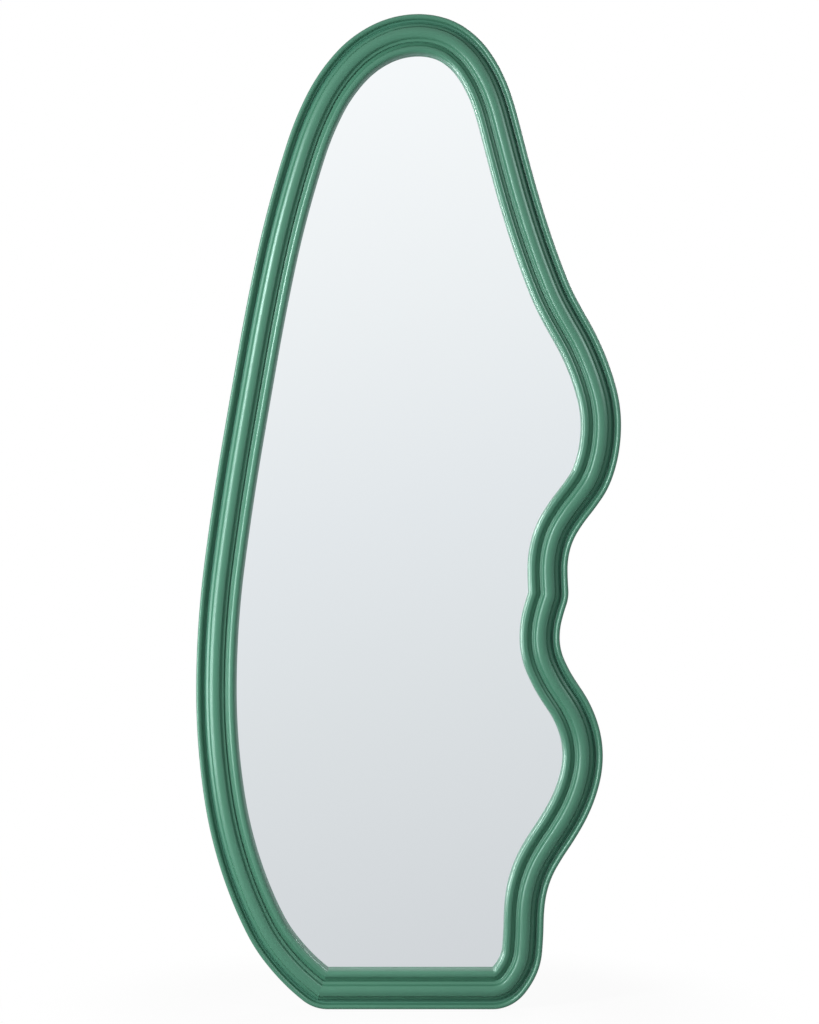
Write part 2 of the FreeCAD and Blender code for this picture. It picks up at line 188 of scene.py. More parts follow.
class MirrorHardwareSizes(bpy.types.PropertyGroup):
    """Sizes of the hangers, screws and bumpers."""

    strap_width: size("Strap width", "Width of the straps", 16)
    strap_thickness: size("Strap thickness", "Thickness of the straps", 1.2)
    strap_corner: size("Strap corner", "Radius of a strap's lower corners", 4)
    strap_edge: size("Strap edge", "Rounding of a strap's edges", 0.25)
    eye_ease: size("Eye ease", "Length over which a strap lifts to its eye", 6)
    eye_turn: angle("Eye turn", "How far a strap turns round the pin", 305)
    wire_radius: size("Ring wire radius", "Radius of the rings' wire", 1.5)
    ring_width: size("Ring width", "Between a ring's leg centres", 25)
    ring_leg: size("Ring leg", "Straight part of a ring's legs", 5)
    ring_corner: size("Ring corner", "Radius of a ring's corners at the pin", 3)
    recess_arm: size("Recess arm", "Length of each arm of a screw's cross", 1.9)
    recess_width: size("Recess width", "Half the width of those arms", 0.42)
    recess_depth: size("Recess depth", "Depth of the cross", 1.1)
    thread_rise: size("Thread rise", "Height of the screw threads", 0.3)
    thread_pitch: size("Thread pitch", "Between the screw threads", 1.2)
    bumper_edge: size("Bumper edge", "Rounding of a bumper's rim", 1.5)
    bumper_dish: size("Bumper dish", "Depth of the dish in a bumper's face", 0.4)
    bumper_land: size("Bumper land", "Flat ring round that dish", 2.2)


class MirrorColours(bpy.types.PropertyGroup):
    """Colours of the finishes."""

    lacquer: colour("Lacquer", "Green on the ribs", 65, 115, 93)
    # Darker green of the random mottle, also used as painted shade in the grooves.
    lacquer_mottle_and_groove_shade: colour("Deep lacquer", "Green in the grooves", 58, 111, 91)
    lacquer_back: colour("Thin lacquer", "Thinner coat on the back", 54, 104, 84)
    lacquer_sheen: colour("Lacquer sheen", "Tint of the highlights", 225, 255, 248)
    joint: colour("Joint line", "Glue line between two pieces", 28, 52, 42)
    silver: colour("Silvering", "What the glass gives back", 249, 251, 252)
    board: colour("Board", "Face of the backing board", 133, 101, 70)
    board_fibre: colour("Board fibres", "Fibres in the backing board", 92, 66, 44)
    zinc: colour("Zinc", "Zinc-plated steel", 188, 192, 196)
    zinc_dull: colour("Dull zinc", "Clouding of the plated steel", 150, 153, 158)
    rubber: colour("Rubber", "Bumpers and setting blocks", 34, 34, 36)
    beech: colour("Beech", "Pale wood of the dowels", 204, 168, 126)
    beech_grain: colour("Beech grain", "Darker grain of the dowels", 168, 128, 88)
    tape: colour("Tape", "Foam tape on the glass", 60, 62, 62)
    film: colour("Film", "Safety film behind the glass", 176, 188, 196)
    foam: colour("Foam", "Foam sheet behind the glass", 232, 232, 228)


class MirrorStudio(bpy.types.PropertyGroup):
    """The camera, the lights and the floor."""

    camera_distance: size("Camera distance", "Camera to the rim of the frame", 4500)
    camera_height: size("Camera height", "Height of the camera", 849.4)
    camera_side: size("Camera side", "Camera to the right of the middle", 1.5)
    view_height: size("View height", "Height of the picture at the rim", 1749.7)
    rim_level: size("Rim level", "Rim in front of the middle", 11)
    ambient: share("Ambient", "Light from all round", 0.155)
    floor_white: share("Floor white", "Plain white in the floor as seen", 0.94)
    floor_white_start: size("Floor white start", "Where that share starts to grow", 350)
    floor_fade_start: size("Floor fade start", "Where the floor starts to fade", 700)
    floor_fade_end: size("Floor fade end", "Where the floor has faded out", 2600)
    floor_colour: colour("Floor", "Pale floor", 205, 205, 205)


class Wire:
    """An output of a shader node that stands in an expression. Each operator adds a node."""

    def __init__(self, finish, socket):
        self.finish = finish
        self.socket = socket

    def __add__(self, other):
        return self.finish.math("ADD", self, other)

    def __sub__(self, other):
        return self.finish.math("SUBTRACT", self, other)

    def __rsub__(self, other):
        return self.finish.math("SUBTRACT", other, self)

    def __mul__(self, other):
        return self.finish.math("MULTIPLY", self, other)

    __radd__ = __add__

    def between(self, low, high):
        """0 up to low, 1 from high on, and a smooth step between them."""
        return self.finish.node("ShaderNodeMapRange", {"interpolation_type": "SMOOTHSTEP"},
                                {"Value": self, "From Min": low, "From Max": high})

    def output(self, name):
        """Another output of the same node."""
        return Wire(self.finish, self.socket.node.outputs[name])


class Finish:
    """A material or world in the making. Every node of it is added here."""

    def __init__(self, tree):
        self.tree = tree
        tree.nodes.clear()

    def node(self, kind, settings, inputs, output=0):
        """Add a node with its settings, then the values or wires of its sockets."""
        made = self.tree.nodes.new(kind)
        for key, value in settings.items():
            if key == "stops":
                self.set_stops(made.color_ramp, value)
            else:
                setattr(made, key, value)
        for key, value in inputs.items():
            if isinstance(value, Wire):
                self.tree.links.new(value.socket, made.inputs[key])
            else:
                made.inputs[key].default_value = value
        return Wire(self, made.outputs[output]) if made.outputs else made

    def set_stops(self, ramp, stops):
        while len(ramp.elements) < len(stops):
            ramp.elements.new(1)
        for element, (position, shade) in zip(ramp.elements, stops):
            element.position = position
            element.color = (*shade, 1)

    def math(self, operation, first, second):
        return self.node("ShaderNodeMath", {"operation": operation}, {0: first, 1: second})

    def mix(self, factor, first, second):
        """A colour between two colours."""
        shades = [value if isinstance(value, Wire) else (*value, 1) for value in (first, second)]
        return self.node("ShaderNodeMix", {"data_type": "RGBA"},
                         {0: factor, 6: shades[0], 7: shades[1]}, output=2)

    def place(self):
        """The place on the object, in metres."""
        return self.node("ShaderNodeTexCoord", {}, {}, output=3)

    def stretch(self, place, *factors):
        return self.node("ShaderNodeVectorMath", {"operation": "MULTIPLY"},
                         {0: place, 1: factors})

    def noise(self, place, scale, detail=2, roughness=0.5):
        return self.node("ShaderNodeTexNoise", {},
                         {"Vector": place, "Scale": scale, "Detail": detail,
                          "Roughness": roughness})

    def attribute(self, name):
        return self.node("ShaderNodeAttribute", {"attribute_name": name}, {}, output=2)

    def bump(self, height, distance, strength=1):
        return self.node("ShaderNodeBump", {},
                         {"Height": height, "Distance": distance, "Strength": strength})

    def surface(self, shader):
        self.node("ShaderNodeOutputMaterial", {}, {"Surface": shader})

    def principled(self, **inputs):
        """The surface itself, with its sockets named by words joined with underscores."""
        sockets = {key.replace("_", " "): value for key, value in inputs.items()}
        self.surface(self.node("ShaderNodeBsdfPrincipled", {}, sockets))


def new_material(name):
    """A new material, what adds its nodes, the place on the object and the colours."""
    material = bpy.data.materials.new(name)
    material.use_nodes = True
    finish = Finish(material.node_tree)
    return material, finish, finish.place(), bpy.context.scene.mirror_colours


def lacquer_material():
    """Sprayed satin lacquer with painted shade darkening the grooves, thin and matt on the back.
    """
    material, finish, place, colours = new_material("green_lacquer")
    level = finish.attribute("level")
    joint = finish.attribute("joint")
    floor = bpy.context.scene.mirror_frame.groove_level
    on_back = 1 - level.between(0.4 * MM, 1.6 * MM)
    in_groove = 1 - level.between(floor, floor + 4.5 * MM)
    clouds = finish.noise(place, 4.5, 3)
    mottle = finish.noise(place, 45, 2, 0.6)
    peel = finish.noise(place, 120, 2, 0.45)
    waviness = finish.noise(place, 14, 2)

    # Painted shade: the grooves are mixed towards the darker green, as if the ribs shaded them.
    shade = finish.mix(in_groove * 0.8, colours.lacquer, colours.lacquer_mottle_and_groove_shade)
    shade = finish.mix((clouds - 0.5) * 0.35 + (mottle - 0.5) * 0.2 + 0.1, shade,
                       colours.lacquer_mottle_and_groove_shade)
    back = finish.mix(finish.noise(finish.stretch(place, 40, 40, 8), 9, 5, 0.7),
                      colours.lacquer_back, colours.lacquer_mottle_and_groove_shade)
    shade = finish.mix(on_back, shade, back)
    line = (1 - joint.between(0.3 * MM, 0.7 * MM)) * (1 - level.between(3 * MM, 4 * MM))
    shade = finish.mix(line, shade, colours.joint)

    finish.principled(
        Base_Color=shade, Roughness=0.3 + in_groove * 0.08 + on_back * 0.24 + mottle * 0.04,
        Specular_IOR_Level=0.6, Specular_Tint=(*colours.lacquer_sheen, 1),
        Normal=finish.bump(peel * 0.5 + waviness * 3 + on_back * mottle * 4 - line * 3,
                           0.04 * MM))
    return material


def silvered_glass_material():
    """Mirror glass: very clear, with the faintest haze from wiping."""
    material, finish, place, colours = new_material("silvered_glass")
    wiped = finish.noise(finish.stretch(place, 3, 3, 1), 7, 4, 0.6)
    dust = finish.noise(place, 1400, 1).between(0.74, 0.8)
    finish.principled(
        Base_Color=finish.mix(dust * 0.04, colours.silver, (0.8, 0.8, 0.8)),
        Metallic=1, Roughness=wiped.between(0.45, 0.9) * 0.012 + dust * 0.05)
    return material


def board_material():
    """Hardboard: smooth, brown, with short fibres in every direction."""
    material, finish, place, colours = new_material("fibreboard")
    fibres = finish.noise(finish.stretch(place, 1, 1, 0.28), 900, 3, 0.6)
    crossed = finish.noise(finish.stretch(place, 0.28, 1, 1), 1100, 3, 0.6)
    clouds = finish.noise(place, 14, 4, 0.6)
    fleck = fibres.between(0.52, 0.72) * 0.5 + crossed.between(0.56, 0.74) * 0.4
    shade = finish.mix(fleck + (clouds - 0.5) * 0.5, colours.board, colours.board_fibre)
    finish.principled(
        Base_Color=shade, Roughness=0.62 + (clouds - 0.5) * 0.2,
        Normal=finish.bump(fibres + crossed, 0.00008, 0.6))
    return material


def zinc_material(name, streaks=(1, 1, 1)):
    """Zinc-plated steel with slightly cloudy plating."""
    material, finish, place, colours = new_material(name)
    clouds = finish.noise(place, 260, 3, 0.6)
    drawn = finish.noise(finish.stretch(place, *streaks), 900, 2)
    finish.principled(
        Base_Color=finish.mix(clouds.between(0.35, 0.7), colours.zinc, colours.zinc_dull),
        Metallic=1, Roughness=0.26 + clouds * 0.16,
        Normal=finish.bump(drawn, 0.00002, 0.5))
    return material


def rubber_material():
    """Moulded rubber with a fine matt grain."""
    material, finish, place, colours = new_material("rubber")
    grain = finish.noise(place, 1600, 2)
    bloom = finish.noise(place, 180, 3)
    finish.principled(
        Base_Color=finish.mix(bloom * 0.35, colours.rubber, (0.07, 0.07, 0.072)),
        Roughness=0.68 + bloom * 0.15, Normal=finish.bump(grain, 0.00005, 0.5))
    return material


def beech_material():
    """Pale beech with fine grain."""
    material, finish, place, colours = new_material("beech")
    grain = finish.noise(finish.stretch(place, 1, 1, 0.12), 700, 4, 0.6)
    finish.principled(
        Base_Color=finish.mix(grain.between(0.35, 0.7), colours.beech, colours.beech_grain),
        Roughness=0.6 + grain * 0.1, Normal=finish.bump(grain, 0.00008, 0.5))
    return material


def cell_material(name, shade, scale, roughness):
    """Foam or film: one colour with a fine cell structure."""
    material, finish, place, _ = new_material(name)
    cells = finish.noise(place, scale, 3, 0.6)
    darker = [value * 0.82 for value in shade]
    finish.principled(
        Base_Color=finish.mix(cells.between(0.4, 0.65), shade, darker),
        Roughness=roughness + (cells - 0.5) * 0.1, Normal=finish.bump(cells, 0.0001, 0.4))
    return material


def heading_vector(sizes, degrees):
    """Unit vector of a heading of the outline, turned along with its width and height."""
    turn = math.radians(degrees)
    run = math.cos(turn) * sizes.width
    fall = math.sin(turn) * sizes.height / SHEET_ASPECT
    return Vector((run, 0, -fall)).normalized()


def level_heading(degrees):
    """Unit vector of a heading: 0 to the right, 90 down."""
    turn = math.radians(degrees)
    return Vector((math.cos(turn), 0, -math.sin(turn)))


def inward(vector):
    """The direction square to a heading, from the outer edge towards the glass."""
    return Vector((vector.z, 0, -vector.x))


class Span:
    """One arc or straight line of a path, from a point along a heading to an end."""

    def __init__(self, start, heading, end):
        self.start = start
        self.end = end
        self.heading = heading
        chord = end - start
        across = inward(heading).dot(chord)
        self.turn = 2 * math.atan2(across, heading.dot(chord))
        self.straight = abs(self.turn) * chord.length / 8 < FLAT_BULGE
        if self.straight:
            self.length = chord.length
            self.heading = chord.normalized()
        else:
            self.radius = chord.length ** 2 / (2 * across)
            self.centre = start + inward(heading) * self.radius
            self.length = abs(self.radius * self.turn)
        self.end_heading = self.heading_at(self.length)

    def heading_at(self, distance):
        if self.straight:
            return self.heading
        turned = self.turn * distance / self.length
        return self.heading * math.cos(turned) + inward(self.heading) * math.sin(turned)

    def point_at(self, distance):
        if self.straight:
            return self.start + self.heading * distance
        return self.centre - inward(self.heading_at(distance)) * self.radius


def spans_between(start, end):
    """Two arcs that leave one station along its heading and meet the next along its own."""
    point, heading = start
    next_point, next_heading = end
    chord = next_point - point
    lean = chord.dot(heading + next_heading)
    spread = 2 * (1 - heading.dot(next_heading))
    if spread < 1e-9:
        reach = chord.dot(chord) / (2 * lean)
    else:
        reach = (math.sqrt(lean ** 2 + spread * chord.dot(chord)) - lean) / spread
    middle = (point + heading * reach + next_point - next_heading * reach) / 2
    first = Span(point, heading, middle)
    return [first, Span(middle, first.end_heading, next_point)]


def frame_station(sizes, x_share, z_share, degrees):
    """A point of the outer edge and its heading."""
    heading = heading_vector(sizes, degrees)
    x = (x_share - 0.5) * sizes.width
    bend_radius = sizes.face_width + sizes.lip_corner
    if z_share == "waist":
        centre = Vector((x, 0, sizes.waist_share * sizes.height))
    elif z_share == "foot":
        centre = Vector((x, 0, bend_radius))
    else:
        return Vector((x, 0, z_share * sizes.height)), heading
    return centre - inward(heading) * bend_radius, heading


def frame_runs(sizes):
    """The spans of each piece of the frame, by the piece's name."""
    rows = [(name, [frame_station(sizes, *row) for row in shares])
            for name, shares in OUTLINE_SHARES]
    runs = {}
    for index, (name, stations) in enumerate(rows):
        ends = stations[1:] + [rows[(index + 1) % len(rows)][1][0]]
        runs[name] = [span for pair in zip(stations, ends) for span in spans_between(*pair)]
    return runs


def stations_along(spans, step, turn_step, folds=None):
    """Points of a path with their headings and folds, close enough together for smooth bends."""
    rows = []
    folds = folds or [None] * len(spans)
    for span, fold in zip(spans, folds):
        count = max(math.ceil(span.length / step), math.ceil(abs(span.turn) / turn_step))
        for k in range(count):
            distance = span.length * k / count
            rows.append((span.point_at(distance), span.heading_at(distance), fold))
    rows.append((spans[-1].end, spans[-1].end_heading, folds[-1]))
    return rows


class Fold:
    """One side of a mitre: the ribs run on straight to it and don't swing round the corner."""

    def __init__(self, corner, heading, low, high):
        self.corner = corner
        self.heading = heading
        self.low = low
        self.high = high

    def share(self, across):
        """How much of the crease there is at a distance from the outer edge."""
        share = min(max((across - self.low) / (self.high - self.low), 0), 1)
        return share * share * (3 - 2 * share)

    def moved(self, point, heading, across):
        """The point of a bend at a heading, moved out to where the rib runs on straight."""
        reach = 1 / heading.dot(self.heading) - 1
        return self.corner + (point - self.corner) * (1 + reach * self.share(across))

    def facing(self, heading, across):
        """The heading that the light shows there."""
        return heading.lerp(self.heading, self.share(across)).normalized()


def folds_along(name, spans, face_width):
    """The folds of the spans of a piece, which has two spans beside each mitre."""
    folds = [None] * len(spans)
    for before, after, low, high in MITRES:
        fades = (low * face_width, high * face_width)
        if name == before:
            folds[-2:] = [Fold(spans[-1].centre, spans[-2].heading, *fades)] * 2
        if name == after:
            folds[:2] = [Fold(spans[0].centre, spans[1].end_heading, *fades)] * 2
    return folds


def face_spans(sizes):
    """The ribbed face as spans of (distance from the outer edge, 0, height above the back)."""
    stations = [(Vector((across * sizes.face_width, 0, level * sizes.depth)),
                 level_heading(degrees)) for across, level, degrees in FACE_SHARES]
    return [span for pair in zip(stations, stations[1:]) for span in spans_between(*pair)]


def straight(start, end):
    return Span(start, (end - start).normalized(), end)


def frame_section(sizes):
    """The whole cross-section of the frame, once round, from the foot of the outer side."""
    face = face_spans(sizes)
    edge = sizes.back_edge
    rabbet = sizes.face_width - sizes.rabbet_width
    seat = rabbet - sizes.seat_width
    corners = [face[-1].end]
    for distance, level in ((sizes.face_width, sizes.rabbet_height),
                            (rabbet, sizes.rabbet_height), (rabbet, sizes.seat_recess),
                            (seat, sizes.seat_recess), (seat, 0), (edge, 0)):
        corners.append(Vector((distance, 0, level)))
    foot = Vector((0, 0, edge))
    back = [straight(a, b) for a, b in zip(corners, corners[1:])]
    return [straight(foot, face[0].start), *face, *back,
            Span(corners[-1], Vector((-1, 0, 0)), foot)]


def corner_rows(before, after, steps=5):
    """A soft corner between two points with their headings, without its two ends."""
    (a, heading_a), (b, heading_b) = before, after
    pull = 0.6 * (b - a).length
    handle_a = a + heading_a * pull
    handle_b = b - heading_b * pull
    rows = []
    for k in range(1, steps):
        t = k / steps
        s = 1 - t
        point = (a * s ** 3 + handle_a * 3 * s * s * t + handle_b * 3 * s * t * t + b * t ** 3)
        heading = ((handle_a - a) * s * s + (handle_b - handle_a) * 2 * s * t
                   + (b - handle_b) * t * t)
        rows.append((point, heading.normalized()))
    return rows


def section_rows(spans, ease, arc_step):
    """Points of a closed cross-section with their headings. Sharp corners are eased."""
    def cut(span):
        return min(ease, 0.4 * span.length)

    def sharp(before, after):
        return before.end_heading.dot(after.heading) < SHARP_COSINE

    rows = []
    for index, span in enumerate(spans):
        after = spans[(index + 1) % len(spans)]
        low = cut(span) if sharp(spans[index - 1], span) else 0
        eased = sharp(span, after)
        high = span.length - cut(span) if eased else span.length
        steps = max(1, math.ceil(abs(span.turn) / arc_step))
        for k in range(steps + 1 if eased else steps):
            distance = low + (high - low) * k / steps
            rows.append((span.point_at(distance), span.heading_at(distance)))
        if eased:
            start = cut(after)
            rows += corner_rows(rows[-1], (after.point_at(start), after.heading_at(start)))
    return rows


def swept_mesh(stations, rows, y_origin, closed=False):
    """A mesh that carries a cross-section along a path, with exact normals."""
    vertices = []
    normals = []
    for point, heading, fold in stations[:-1] if closed else stations:
        for spot, course in rows:
            place = point + inward(heading) * spot.x
            side = inward(fold.facing(heading, spot.x) if fold else heading)
            if fold:
                place = fold.moved(place, heading, spot.x)
            vertices.append(place + Vector((0, y_origin - spot.z, 0)))
            normals.append(side * -course.z + Vector((0, -course.x, 0)))
    width = len(rows)
    rings = len(vertices) // width
    faces = []
    for ring in range(rings if closed else rings - 1):
        here = ring * width
        there = (ring + 1) % rings * width
        for k in range(width):
            following = (k + 1) % width
            faces.append((here + k, here + following, there + following, there + k))
    loop_normals = [normals[corner] for face in faces for corner in face]
    if not closed:
        faces.append(tuple(reversed(range(width))))
        faces.append(tuple(range(len(vertices) - width, len(vertices))))
        loop_normals += [-stations[0][1]] * width + [stations[-1][1]] * width
    mesh = bpy.data.meshes.new("piece")
    mesh.from_pydata(vertices, [], faces)
    mesh.shade_smooth()
    mesh.normals_split_custom_set(loop_normals)
    return mesh


def new_object(name, data):
    """Put a mesh, a light or a camera in the scene."""
    made = bpy.data.objects.new(name, data)
    bpy.context.scene.collection.objects.link(made)
    return made


def new_piece(name, mesh, material, node, body=BODY):
    """Put a finished mesh in the scene, on its body and in place of its solids."""
    piece = new_object(name, mesh)
    mesh.name = name
    mesh.materials.append(material)
    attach(piece, body)
    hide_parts(node)
    return piece


def finish_node(node, material):
    """Give a solid that stays as it is its own finish."""
    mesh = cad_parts[node].data
    mesh.materials.clear()
    mesh.materials.append(material)


def add_float(mesh, name, values):
    mesh.attributes.new(name, "FLOAT", "POINT").data.foreach_set("value", values)


def turned_solids(node):
    """Centre, radius, foot and top of each turned solid of a node, from the origin outwards."""
    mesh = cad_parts[node].data
    keys = [vertex.co.to_tuple(6) for vertex in mesh.vertices]
    links = {key: key for key in keys}

    def root(key):
        while links[key] != key:
            links[key] = links[links[key]]
            key = links[key]
        return key

    for polygon in mesh.polygons:
        first, *others = [keys[index] for index in polygon.vertices]
        for other in others:
            links[root(other)] = root(first)
    solids = {}
    for key in links:
        solids.setdefault(root(key), []).append(key)
    boxes = [[(min(axis), max(axis)) for axis in zip(*points)] for points in solids.values()]
    boxes.sort(key=lambda box: math.hypot(*(start for start, end in box)))
    return [(Vector(((left + right) / 2, 0, (low + high) / 2)), (right - left) / 2, foot, top)
            for (left, right), (foot, top), (low, high) in boxes]


def cross_outline(arm, width):
    """The twelve corners of a cross, anticlockwise."""
    quarter = [(arm, -width), (arm, width), (width, width)]
    points = []
    for turn in range(4):
        points += quarter
        quarter = [(-y, x) for x, y in quarter]
    return points


def add_bands(shape, loops):
    """Faces between each two neighbours of a row of closed loops."""
    for lower, upper in zip(loops, loops[1:]):
        for k in range(len(lower)):
            other = (k + 1) % len(lower)
            shape.faces.new((lower[k], upper[k], upper[other], lower[other]))


def circle(radius, sides):
    """Points round a circle, as pairs."""
    return [(radius * math.cos(k * math.tau / sides), radius * math.sin(k * math.tau / sides))
            for k in range(sides)]


def add_turned(shape, rings, place, sides=40):
    """Turned rings of (radius, height) round the Y axis, closed at the foot. Returns the rim."""
    loops = [[shape.verts.new(place + Vector((x, level, z))) for x, z in circle(radius, sides)]
             for radius, level in rings]
    add_bands(shape, loops)
    shape.faces.new(loops[0])
    return loops[-1]


def add_cross_top(shape, rim, place, level, hardware, turn):
    """Close the top of a screw head with a flat face and a tapering cross in it."""
    def corners(scale, height):
        outline = cross_outline(hardware.recess_arm * scale, hardware.recess_width)
        return [shape.verts.new(place + Vector((
            x * math.cos(turn) - z * math.sin(turn), height,
            x * math.sin(turn) + z * math.cos(turn)))) for x, z in outline]

    taper = 0.45
    mouth = corners(1, level)
    floor = corners(taper, level - hardware.recess_depth)
    add_bands(shape, [mouth, floor])
    shape.faces.new(floor)
    edges = [shape.edges.get((loop[k], loop[(k + 1) % len(loop)])) or
             shape.edges.new((loop[k], loop[(k + 1) % len(loop)]))
             for loop in (rim, mouth) for k in range(len(loop))]
    bmesh.ops.triangle_fill(shape, use_beauty=True, edges=edges, normal=(0, 1, 0))


def mesh_from(shape, sharp=35):
    """Turn a bmesh into a mesh with its faces outwards and its sharp edges kept sharp."""
    bmesh.ops.recalc_face_normals(shape, faces=shape.faces)
    mesh = bpy.data.meshes.new("piece")
    shape.to_mesh(mesh)
    shape.free()
    mesh.shade_smooth()
    mesh.set_sharp_from_angle(angle=math.radians(sharp))
    return mesh


def thread_rings(hardware, radius, start, end):
    """A pointed, threaded shank as rings of (radius, height), from its point upwards."""
    tip, first, turns = 0.12, 0.35, 5
    pitch = hardware.thread_pitch
    core = radius - hardware.thread_rise
    rings = [(radius * tip, start)]
    level = start + pitch
    while level < end - pitch:
        taper = min(1, first + (level - start) / (turns * pitch))
        rings += [(core * taper, level), (radius * taper, level + pitch / 2)]
        level += pitch
    return [*rings, (core, level)]


class MIRROR_OT_lacquered_frame(bpy.types.Operator):
    """Build the twelve lacquered pieces of the ribbed frame"""

    bl_idname = "mirror.lacquered_frame"
    bl_label = "Lacquered Frame"

    def execute(self, context):
        sizes = context.scene.mirror_frame
        material = lacquer_material()
        rows = section_rows(frame_section(sizes), sizes.lacquer_ease, sizes.arc_step)
        levels = [spot.z for spot, course in rows]
        for name, spans in frame_runs(sizes).items():
            folds = folds_along(name, spans, sizes.face_width)
            stations = stations_along(spans, sizes.path_step, sizes.turn_step, folds)
            mesh = swept_mesh(stations, rows, sizes.back_face)
            add_float(mesh, "level", levels * len(stations))
            first, last = stations[0][0], stations[-1][0]
            add_float(mesh, "joint", [
                min((point - first).length, (point - last).length)
                for point, heading, fold in stations for row in rows])
            new_piece(f"{name}_lacquered", mesh, material, f"frame_{name}")
        return {"FINISHED"}


class MIRROR_OT_glass_and_board(bpy.types.Operator):
    """Finish the glass, what is packed behind it and the backing board"""

    bl_idname = "mirror.glass_and_board"
    bl_label = "Glass and Board"

    def execute(self, context):
        colours = context.scene.mirror_colours
        finish_node("mirror_glass", silvered_glass_material())
        finish_node("glazing_tape", cell_material("foam_tape", colours.tape, 1800, 0.85))
        finish_node("safety_film", cell_material("film", colours.film, 500, 0.35))
        finish_node("foam_sheet", cell_material("foam", colours.foam, 700, 0.8))
        finish_node("backing_board", board_material())
        finish_node("setting_blocks", rubber_material())
        finish_node("frame_dowels", beech_material())
        return {"FINISHED"}


class MIRROR_OT_board_screws(bpy.types.Operator):
    """Build the countersunk screws that hold the backing board"""

    bl_idname = "mirror.board_screws"
    bl_label = "Board Screws"

    def execute(self, context):
        hardware = context.scene.mirror_hardware
        cross_turn = 1.13
        shape = bmesh.new()
        for index, (place, head, foot, top) in enumerate(turned_solids("board_screws")):
            shank = head / 2
            edge = head * 0.02
            rings = thread_rings(hardware, shank, foot, top - head / 2)
            rings += [(shank, top - head / 2), (head - edge * 2, top - edge * 2),
                      (head, top - edge), (head - edge, top)]
            rim = add_turned(shape, rings, place)
            add_cross_top(shape, rim, place, top, hardware, index * cross_turn)
        new_piece("board_screws_driven", mesh_from(shape), zinc_material("zinc_screws"),
                  "board_screws")
        return {"FINISHED"}


